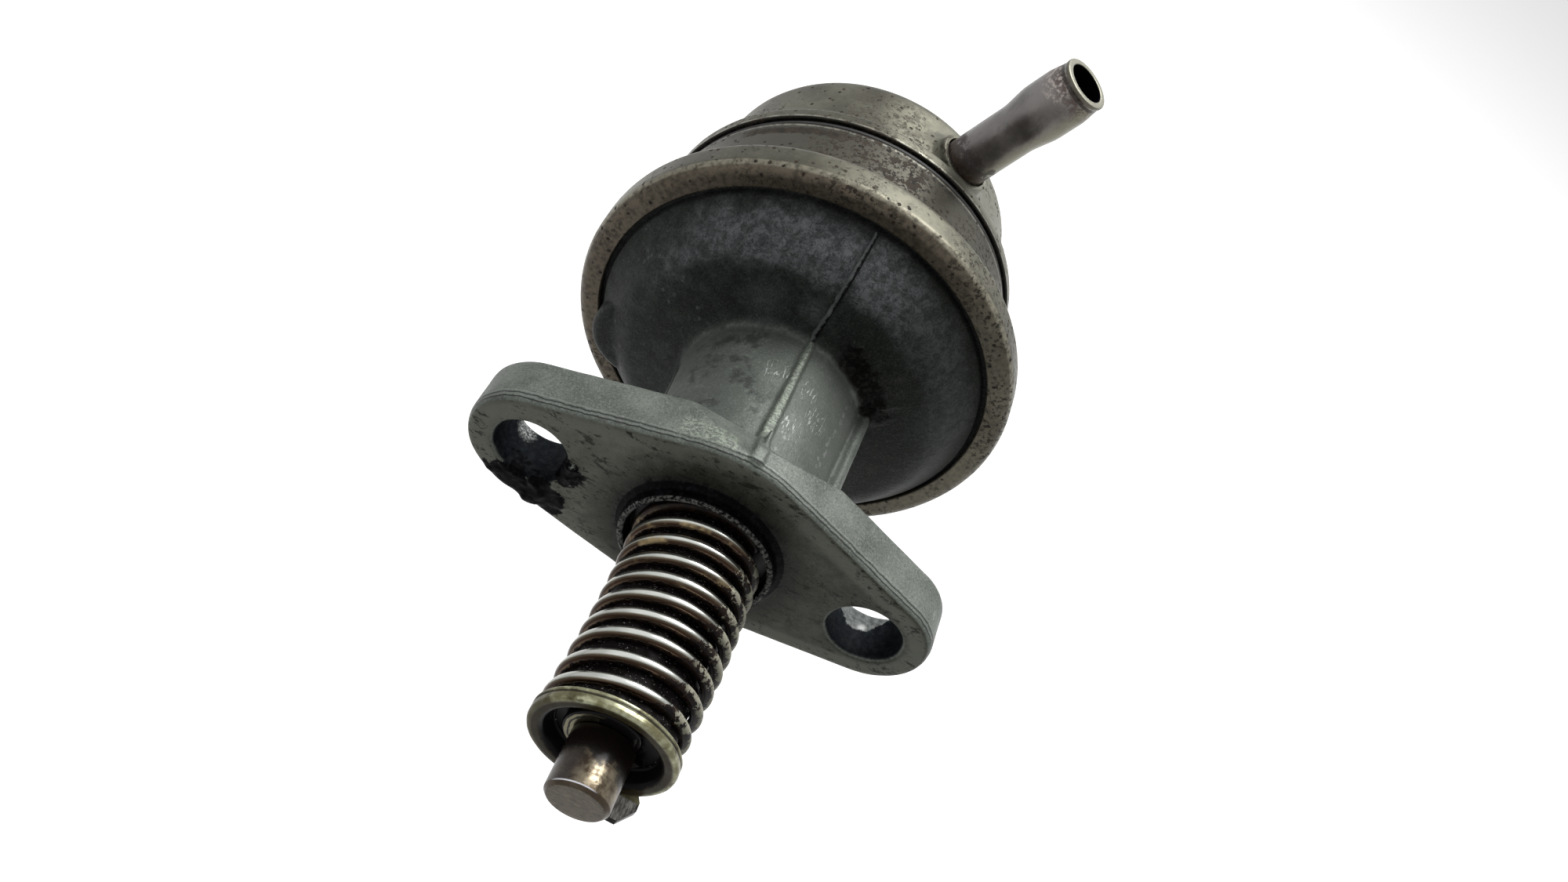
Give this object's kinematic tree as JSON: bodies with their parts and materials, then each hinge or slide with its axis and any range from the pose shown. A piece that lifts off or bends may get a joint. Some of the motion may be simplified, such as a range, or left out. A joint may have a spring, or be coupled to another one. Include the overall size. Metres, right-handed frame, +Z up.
{
  "type": "fuel pump",
  "caption": "Plunger-driven diaphragm fuel pump: die-cast flanged body, crimped drum and cap, exposed return spring, and hose pipes on opposite sides.",
  "frame": {"origin": "centre of the mounting flange's front face, on the plunger's axis", "axes": "+Y along the pump's axis from the plunger to the cap, +X through the bolt holes, +Z up, towards the outlet pipe's side"},
  "size_m": [0.0662, 0.1154, 0.0932],
  "materials": {
    "casting": "die-cast, dull and stained",
    "shell": "zinc-plated sheet, dull, with rust specks",
    "pipe": "plated tube, smudged",
    "spring_steel": "drawn wire, oily",
    "plunger_steel": "ground, worn and browned",
    "cup_zinc": "yellow-green zinc plating",
    "dark_steel": "oil-blackened",
    "plate_steel": "plain plated",
    "housing_alloy": "die-cast",
    "valve_brass": "pressed",
    "black_rubber": "matt"
  },
  "bodies": {
    "casing": {"pump_body": "casting", "drum_shell": "shell", "top_cover": "shell", "cover_gasket": "black_rubber", "inlet_pipe": "pipe", "outlet_pipe": "pipe", "valve_housing": "housing_alloy", "inlet_valve_cage": "valve_brass", "outlet_valve_cage": "valve_brass", "strainer": "valve_brass", "diaphragm": "black_rubber", "rod_seal": "black_rubber", "seal_retainer": "plate_steel", "guide_sleeve": "dark_steel", "spring_seat_washer": "dark_steel", "return_spring": "spring_steel", "inlet_valve_spring": "spring_steel", "outlet_valve_spring": "spring_steel"},
    "plunger": {"plunger": "plunger_steel", "spring_cup": "cup_zinc", "retaining_clip": "cup_zinc", "rod_retainer": "plate_steel", "delivery_spring": "spring_steel"},
    "diaphragm_centre": {"pull_rod": "plate_steel", "lower_plate": "plate_steel", "upper_plate": "plate_steel", "rod_nut": "plate_steel"},
    "inlet_valve": {"inlet_valve_disc": "black_rubber"},
    "outlet_valve": {"outlet_valve_disc": "black_rubber"}
  },
  "joints": [
    {"name": "plunger_slide", "type": "slide", "parent": "casing", "child": "plunger", "axis": [0, 1, 0], "range_m": [0, 0.005], "stiffness_N_per_m": 1900, "springref_m": -0.01, "deforming": ["return_spring"]},
    {"name": "diaphragm_slide", "type": "slide", "parent": "casing", "child": "diaphragm_centre", "axis": [0, 1, 0], "range_m": [0, 0.005], "deforming": ["diaphragm"]},
    {"name": "inlet_valve_lift", "type": "slide", "parent": "casing", "child": "inlet_valve", "axis": [0, -1, 0], "range_m": [0, 0.001], "stiffness_N_per_m": 30, "springref_m": -0.002, "deforming": ["inlet_valve_spring"]},
    {"name": "outlet_valve_lift", "type": "slide", "parent": "casing", "child": "outlet_valve", "axis": [0, 1, 0], "range_m": [0, 0.001], "stiffness_N_per_m": 30, "springref_m": -0.002, "deforming": ["outlet_valve_spring"]}
  ],
  "couplings": [
    {"joint": "diaphragm_slide", "follows": "plunger_slide", "ratio": 1}
  ]
}
